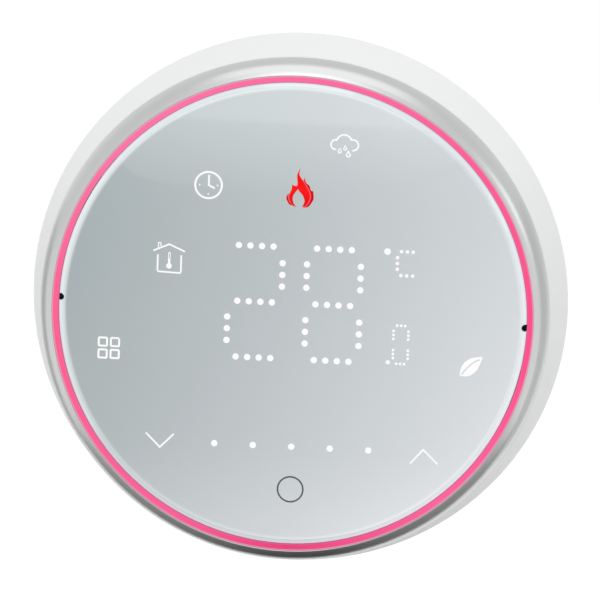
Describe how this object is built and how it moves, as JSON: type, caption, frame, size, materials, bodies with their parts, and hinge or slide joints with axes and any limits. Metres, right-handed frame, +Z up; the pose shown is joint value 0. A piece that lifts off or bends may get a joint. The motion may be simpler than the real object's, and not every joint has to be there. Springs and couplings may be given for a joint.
{
  "type": "wall thermostat",
  "caption": "Round touch-glass wall thermostat with a glowing ring, silver bezel and white body, clipped to an in-wall power box with screw terminals.",
  "frame": {"origin": "centre of the wall plate's back face, which lies on the wall", "axes": "+Y into the wall, -Y out of the front glass, +X to the right and +Z up as seen from the room"},
  "size_m": [0.096, 0.0484, 0.096],
  "materials": {
    "glass": "polished, silvered from behind",
    "light": "translucent, lit from behind",
    "bezel": "satin silver",
    "shell": "fine satin white",
    "mask": "matt black",
    "film": "matt translucent",
    "adhesive": "matt",
    "board": "solder mask",
    "led": "moulded",
    "spring": "drawn wire",
    "shield": "stamped tin plate",
    "chip": "moulded epoxy",
    "bead": "dipped epoxy",
    "connector": "moulded nylon",
    "screw": "zinc plated",
    "plate": "fine moulded texture",
    "box": "fine moulded texture",
    "ferrite": "sintered, matt",
    "tape": "polyester tape",
    "can": "sleeved can",
    "film_cap": "moulded box",
    "varistor": "dipped epoxy",
    "fuse": "clear tube with plated caps",
    "relay": "moulded",
    "coil": "enamelled wire",
    "steel": "plated",
    "contact": "plated",
    "terminal": "moulded",
    "terminal_steel": "yellow passivated"
  },
  "bodies": {
    "wall_unit": {"wall_plate": "plate", "power_box": "box", "plate_screws": "screw", "power_board": "board", "power_board_screws": "screw", "transformer_core": "ferrite", "transformer_winding": "tape", "main_capacitor": "can", "filter_capacitor": "film_cap", "varistor": "varistor", "fuse": "fuse", "rectifier": "chip", "pin_guides": "connector", "header_pins": "contact", "relay_base": "connector", "relay_cover": "relay", "relay_coil": "coil", "relay_frame": "steel", "relay_contact": "contact", "terminal_block": "terminal", "terminal_tags": "contact"},
    "front_unit": {"glass_panel": "glass", "light_ring": "light", "bezel_ring": "bezel", "front_shell": "shell", "display_mask": "mask", "diffuser_film": "film", "glass_adhesive": "adhesive", "display_board": "board", "ring_leds": "led", "display_leds": "led", "touch_springs": "spring", "wifi_module": "shield", "control_chip": "chip", "buzzer": "chip", "temperature_sensor": "bead", "board_socket": "connector", "rear_cover": "shell", "cover_screws": "screw", "board_screws": "screw"},
    "relay_armature": {"relay_armature": "steel"},
    "terminal_screw_1": {"terminal_screw_1": "terminal_steel"},
    "terminal_clamp_1": {"terminal_clamp_1": "terminal_steel"},
    "terminal_screw_2": {"terminal_screw_2": "terminal_steel"},
    "terminal_clamp_2": {"terminal_clamp_2": "terminal_steel"},
    "terminal_screw_3": {"terminal_screw_3": "terminal_steel"},
    "terminal_clamp_3": {"terminal_clamp_3": "terminal_steel"},
    "terminal_screw_4": {"terminal_screw_4": "terminal_steel"},
    "terminal_clamp_4": {"terminal_clamp_4": "terminal_steel"},
    "terminal_screw_5": {"terminal_screw_5": "terminal_steel"},
    "terminal_clamp_5": {"terminal_clamp_5": "terminal_steel"},
    "terminal_screw_6": {"terminal_screw_6": "terminal_steel"},
    "terminal_clamp_6": {"terminal_clamp_6": "terminal_steel"}
  },
  "joints": [
    {"name": "front_release", "type": "slide", "parent": "wall_unit", "child": "front_unit", "axis": [0, -1, 0], "range_m": [0, 0.03]},
    {"name": "relay_rock", "type": "hinge", "parent": "wall_unit", "child": "relay_armature", "pos_m": [-0.0124, 0.0042, 0.0095], "axis": [1, 0, 0], "range_deg": [0, 3], "stiffness_Nm_per_rad": 0.01, "springref_deg": -2.86},
    {"name": "screw_turn_1", "type": "hinge", "parent": "wall_unit", "child": "terminal_screw_1", "pos_m": [-0.01588, 0.0196, -0.01675], "axis": [0, -1, 0], "range_deg": [0, 1441]},
    {"name": "clamp_rise_1", "type": "slide", "parent": "wall_unit", "child": "terminal_clamp_1", "axis": [0, 1, 0], "range_m": [0, 0.002]},
    {"name": "screw_turn_2", "type": "hinge", "parent": "wall_unit", "child": "terminal_screw_2", "pos_m": [-0.00953, 0.0196, -0.01675], "axis": [0, -1, 0], "range_deg": [0, 1441]},
    {"name": "clamp_rise_2", "type": "slide", "parent": "wall_unit", "child": "terminal_clamp_2", "axis": [0, 1, 0], "range_m": [0, 0.002]},
    {"name": "screw_turn_3", "type": "hinge", "parent": "wall_unit", "child": "terminal_screw_3", "pos_m": [-0.00317, 0.0196, -0.01675], "axis": [0, -1, 0], "range_deg": [0, 1441]},
    {"name": "clamp_rise_3", "type": "slide", "parent": "wall_unit", "child": "terminal_clamp_3", "axis": [0, 1, 0], "range_m": [0, 0.002]},
    {"name": "screw_turn_4", "type": "hinge", "parent": "wall_unit", "child": "terminal_screw_4", "pos_m": [0.00317, 0.0196, -0.01675], "axis": [0, -1, 0], "range_deg": [0, 1441]},
    {"name": "clamp_rise_4", "type": "slide", "parent": "wall_unit", "child": "terminal_clamp_4", "axis": [0, 1, 0], "range_m": [0, 0.002]},
    {"name": "screw_turn_5", "type": "hinge", "parent": "wall_unit", "child": "terminal_screw_5", "pos_m": [0.00953, 0.0196, -0.01675], "axis": [0, -1, 0], "range_deg": [0, 1441]},
    {"name": "clamp_rise_5", "type": "slide", "parent": "wall_unit", "child": "terminal_clamp_5", "axis": [0, 1, 0], "range_m": [0, 0.002]},
    {"name": "screw_turn_6", "type": "hinge", "parent": "wall_unit", "child": "terminal_screw_6", "pos_m": [0.01588, 0.0196, -0.01675], "axis": [0, -1, 0], "range_deg": [0, 1441]},
    {"name": "clamp_rise_6", "type": "slide", "parent": "wall_unit", "child": "terminal_clamp_6", "axis": [0, 1, 0], "range_m": [0, 0.002]}
  ],
  "couplings": [
    {"joint": "screw_turn_1", "follows": "clamp_rise_1", "rad_per_m": 12566},
    {"joint": "screw_turn_2", "follows": "clamp_rise_2", "rad_per_m": 12566},
    {"joint": "screw_turn_3", "follows": "clamp_rise_3", "rad_per_m": 12566},
    {"joint": "screw_turn_4", "follows": "clamp_rise_4", "rad_per_m": 12566},
    {"joint": "screw_turn_5", "follows": "clamp_rise_5", "rad_per_m": 12566},
    {"joint": "screw_turn_6", "follows": "clamp_rise_6", "rad_per_m": 12566}
  ]
}
